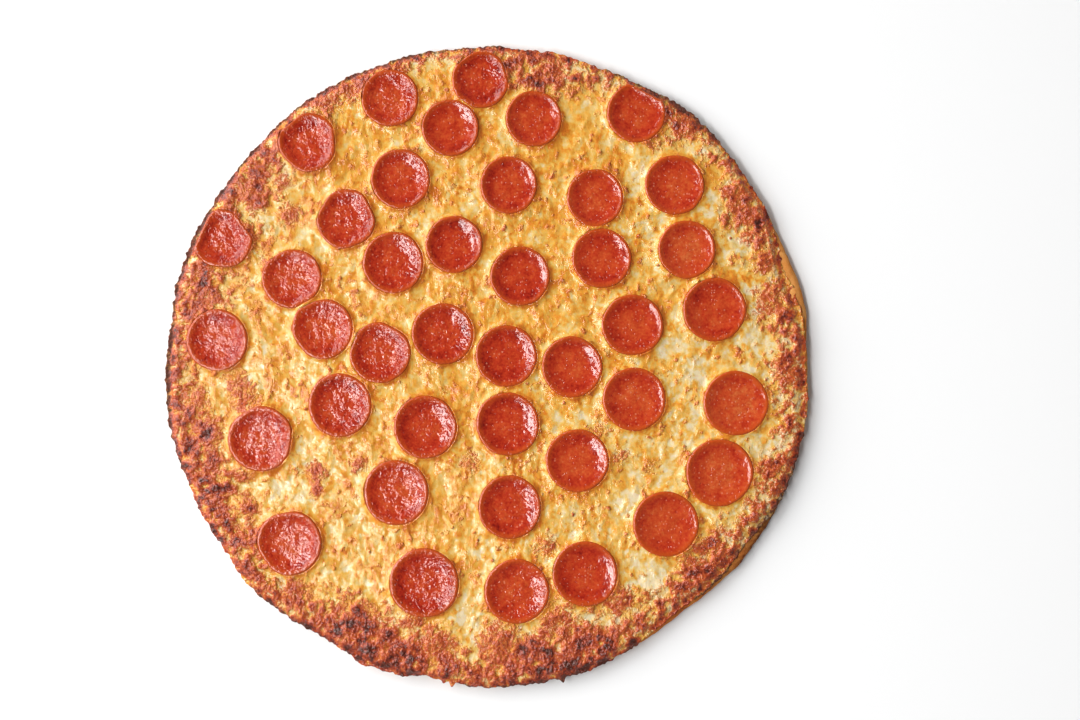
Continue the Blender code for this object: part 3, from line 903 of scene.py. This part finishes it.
def make_cheese(finish):
    """The melted layer, in four zones that meet without a seam, so that each can be fine enough. What
    lies under a slice is left in one flat face."""
    grid, ring, hidden = cheese_grid()
    limits = (0.0, *CHEESE_ZONES, 1.0)
    for name, low, high in zip(("middle", "inner", "outer", "rim"), limits, limits[1:]):
        bm = bmesh.new()
        bm.from_mesh(grid)
        faces = list(bm.faces)
        inside = (ring > low) & (ring < high)
        covered = [faces[i] for i in np.flatnonzero(inside & hidden)]
        bmesh.ops.delete(bm, geom=[faces[i] for i in np.flatnonzero(~inside)], context="FACES")
        bmesh.ops.dissolve_faces(bm, faces=covered, use_verts=True)
        limit = (CHEESE_ZONES[-1] + 0.05) * PIZZA_RADIUS
        seam = [v for v in bm.verts if v.is_boundary and v.co.xy.length < limit]
        close_below(bm)
        bm.verts.index_update()
        at = [v.index for v in seam]
        mesh = mesh_of(f"cheese_{name}", bm)
        points = points_of(mesh)
        x, y = points[:, 0], points[:, 1]
        layers = ("gold", "toast", "burnt", "drift")
        add_values(mesh, **{layer: read(CHEESE[layer], x, y) for layer in layers})
        made = piece(f"cheese_{name}", mesh, finish, "melted_cheese", "cheese")
        step = PIZZA_RADIUS * 2 / CHEESE_CELLS
        lie = np.zeros_like(points)
        slope_x = read(CHEESE["height"], x[at] + step, y[at]) - read(CHEESE["height"], x[at] - step, y[at])
        slope_y = read(CHEESE["height"], x[at], y[at] + step) - read(CHEESE["height"], x[at], y[at] - step)
        lie[at] = np.stack([-slope_x, -slope_y, np.full(len(at), 2 * step)], axis=1)
        lie[at] /= np.linalg.norm(lie[at], axis=1)[:, None]
        made.data.normals_split_custom_set_from_vertices(lie)
    bpy.data.meshes.remove(grid)


def make_crust(finish):
    """The dough: flat below, with a lumpy rim. It rises in a ledge where the cheese stays short of it."""
    rim = (
        (0.0110, 0.0), (0.0060, 0.0001), (0.0035, 0.0004), (0.0020, 0.0009), (0.0009, 0.0015),
        (0.0002, 0.0022), (0.0, 0.0029), (0.0003, 0.0036), (0.0010, 0.0043), (0.0020, 0.0048),
        (0.0032, 0.0050), (0.0046, 0.0051), (0.0062, 0.0050), (0.0078, 0.0050), (0.0094, 0.0050),
        (0.0112, 0.0050), (0.0135, 0.0050),
    )  # fmt: skip
    rings = [(PIZZA_RADIUS - inside, height) for inside, height in rim]
    mesh = mesh_of("crust_dough", spun([(0.0, 0.0), *rings, (0.0, DOUGH_THICKNESS)], CRUST_STEPS))
    points = points_of(mesh)
    x, y, z = points.T
    angle, radius = np.arctan2(y, x), np.hypot(x, y)
    outer = smooth_step(PIZZA_RADIUS - 0.0060, PIZZA_RADIUS, radius)
    swell = ripple(x, y + 3 * z, 0.007, SEED + 21) + 0.6 * ripple(x + 2 * z, y, 0.0032, SEED + 22)
    scale = (outline(angle) + growth(angle) * outer + 0.0005 * outer * swell) / PIZZA_RADIUS
    lifted = smooth_step(0.0008, 0.0045, z) * smooth_step(0.0090, 0.0040, PIZZA_RADIUS - radius)
    bare = sum(more * stretch(angle, middle, half) for middle, half, more in BARE_STRETCHES)
    ledge = smooth_step(0.0, 0.0020, retreat(angle)) * smooth_step(0.0008, 0.0045, z)
    ledge = ledge * smooth_step(0.0130, 0.0085, PIZZA_RADIUS - radius)
    covered = 1 - smooth_step(-0.0020, 0.0, retreat(angle))
    z = z + lifted * (0.0005 * swell + 0.35 * bare * (1 - ledge)) * (1 - covered) + 0.0011 * ledge
    set_points(mesh, np.stack([x * scale, y * scale, z], axis=1))
    burnt = sum(stretch(angle, middle, half) for middle, half, _ in BURNT_RIM)
    toast = 0.06 * outer + 0.12 * ripple(x, y, 0.012, SEED + 23) + 0.25 * (z < 0.0003)
    toast = toast + 0.26 * stretch(angle, *BROWNED_DOUGH)
    add_values(mesh, burnt=burnt * outer, toast=toast)
    return piece("crust_baked", mesh, finish, "baked_dough", "crust")


def make_slice(one, finish):
    """A slice: thin in the middle, dished up to a rolled lip, with a fine greasy relief."""
    inner = [(share, 1.0) for share in np.linspace(0.0, 0.91, 22)]
    lip = [(0.93, 0.995), (0.947, 0.98), (0.962, 0.95), (0.976, 0.88), (0.990, 0.74)]
    lip += [(1.0, 0.48), (0.998, 0.15), (0.985, 0.0)]
    under = [(0.88, 0.0), (0.78, 0.0), (0.45, 0.0), (0.0, 0.0)]
    mesh = mesh_of(one.node, spun([*inner, *lip, *under][::-1], SLICE_STEPS))
    points = points_of(mesh)
    share, angle = np.hypot(points[:, 0], points[:, 1]), np.arctan2(points[:, 1], points[:, 0])
    level = points[:, 2]
    wobble = ripple(3.0 * np.cos(angle), 3.0 * np.sin(angle), 1.7, SEED + 60 + one.index)
    reach = one.reach(angle) * (0.982 + 0.018 * wobble)
    x, y = one.x + share * reach * np.cos(angle), one.y + share * reach * np.sin(angle)
    rng = np.random.default_rng(SEED + one.index)
    turn, strength = rng.uniform(0, 2 * math.pi), rng.uniform(0.0, 0.20)
    curl = 1 + strength * (np.cos(angle - turn) - 1) / 2
    foot, top = SLICE_WALL_ENDS
    climb = np.clip((share - foot) / (top - foot), 0, 1)
    dish = SLICE_MIDDLE + curl * (0.0001 * share**2 + SLICE_WALL * climb**1.7)
    below = one.lift(share)
    coarse = ripple(x, y, 0.0050, SEED + 31) + 0.4 * ripple(x, y, 0.0022, SEED + 32)
    crinkled = CRINKLED.get(one.index, 0.24)
    grain = (0.00010 + 0.00016 * crinkled) * coarse * (1 - smooth_step(0.84, 0.92, share))
    z = one.plane(x, y) + below * (1 - level) + level * (dish + grain)
    set_points(mesh, np.stack([x, y, z], axis=1))
    cast = np.full(len(x), rng.uniform(-0.05, 0.05) + 0.08 * smooth_step(0.02, 0.13, one.x))
    crinkle = crinkled + (0.60 - crinkled) * smooth_step(0.86, 0.95, share)
    add_values(mesh, share=share, cast=cast, crinkle=crinkle)
    return piece(f"{one.node}_cooked", mesh, finish, "cooked_sausage", one.node)


def make_stage():
    """A white table, two soft lights from the left, one high and one low, and a room that is bright low
    down and dark overhead, so that what lies flat doesn't mirror white."""
    bm = bmesh.new()
    bmesh.ops.create_grid(bm, x_segments=1, y_segments=1, size=3.0)
    floor = bpy.data.objects.new("table", mesh_of("table", bm))
    made, _, shader = material("white_table")
    set_inputs(shader, Base_Color=linear("EEEEEE"), Roughness=0.9, Specular_IOR_Level=0.2)
    floor.data.materials.append(made)
    bpy.context.scene.collection.objects.link(floor)

    for name, place, size, power in SOFT_LIGHTS:
        light = bpy.data.lights.new(name, "AREA")
        light.shape = "RECTANGLE"
        light.size, light.size_y = size
        light.energy = power
        box = bpy.data.objects.new(name, light)
        box.location = place
        box.rotation_euler = (-Vector(place)).to_track_quat("-Z", "Y").to_euler()
        bpy.context.scene.collection.objects.link(box)

    world = bpy.data.worlds.new("white_room")
    world.use_nodes = True
    tree = world.node_tree
    way = node(tree, "ShaderNodeTexCoord").outputs["Generated"]
    rise = node(tree, "ShaderNodeSeparateXYZ", {"Vector": way}).outputs["Z"]
    glow = node(
        tree, "ShaderNodeMapRange",
        {"Value": rise, "From Min": 0.2, "From Max": 0.95, "To Min": 0.42, "To Max": 0.05},
    ).outputs["Result"]
    tree.links.new(glow, tree.nodes["Background"].inputs["Strength"])
    tree.nodes["Background"].inputs["Color"].default_value = (1, 1, 1, 1)
    bpy.context.scene.world = world


def make_camera():
    """Straight down, with the pizza where the photograph has it."""
    lens, sensor = 50.0, 36.0
    camera = bpy.data.objects.new("camera", bpy.data.cameras.new("camera"))
    camera.data.lens, camera.data.sensor_width = lens, sensor
    camera.data.clip_start = 0.01
    above = PHOTO_SIZE[0] * PHOTO_SCALE * lens / sensor
    shift_x, shift_y = from_photo(PHOTO_SIZE[0] / 2, PHOTO_SIZE[1] / 2)
    camera.location = (shift_x, shift_y, above + DOUGH_THICKNESS)
    bpy.context.scene.collection.objects.link(camera)
    bpy.context.scene.camera = camera
    bpy.context.scene.view_settings.view_transform = "Standard"


make_crust(baked_dough())
make_cheese(melted_cheese())
sausage = cooked_pepperoni()
for each in SLICES:
    make_slice(each, sausage)
make_stage()
make_camera()
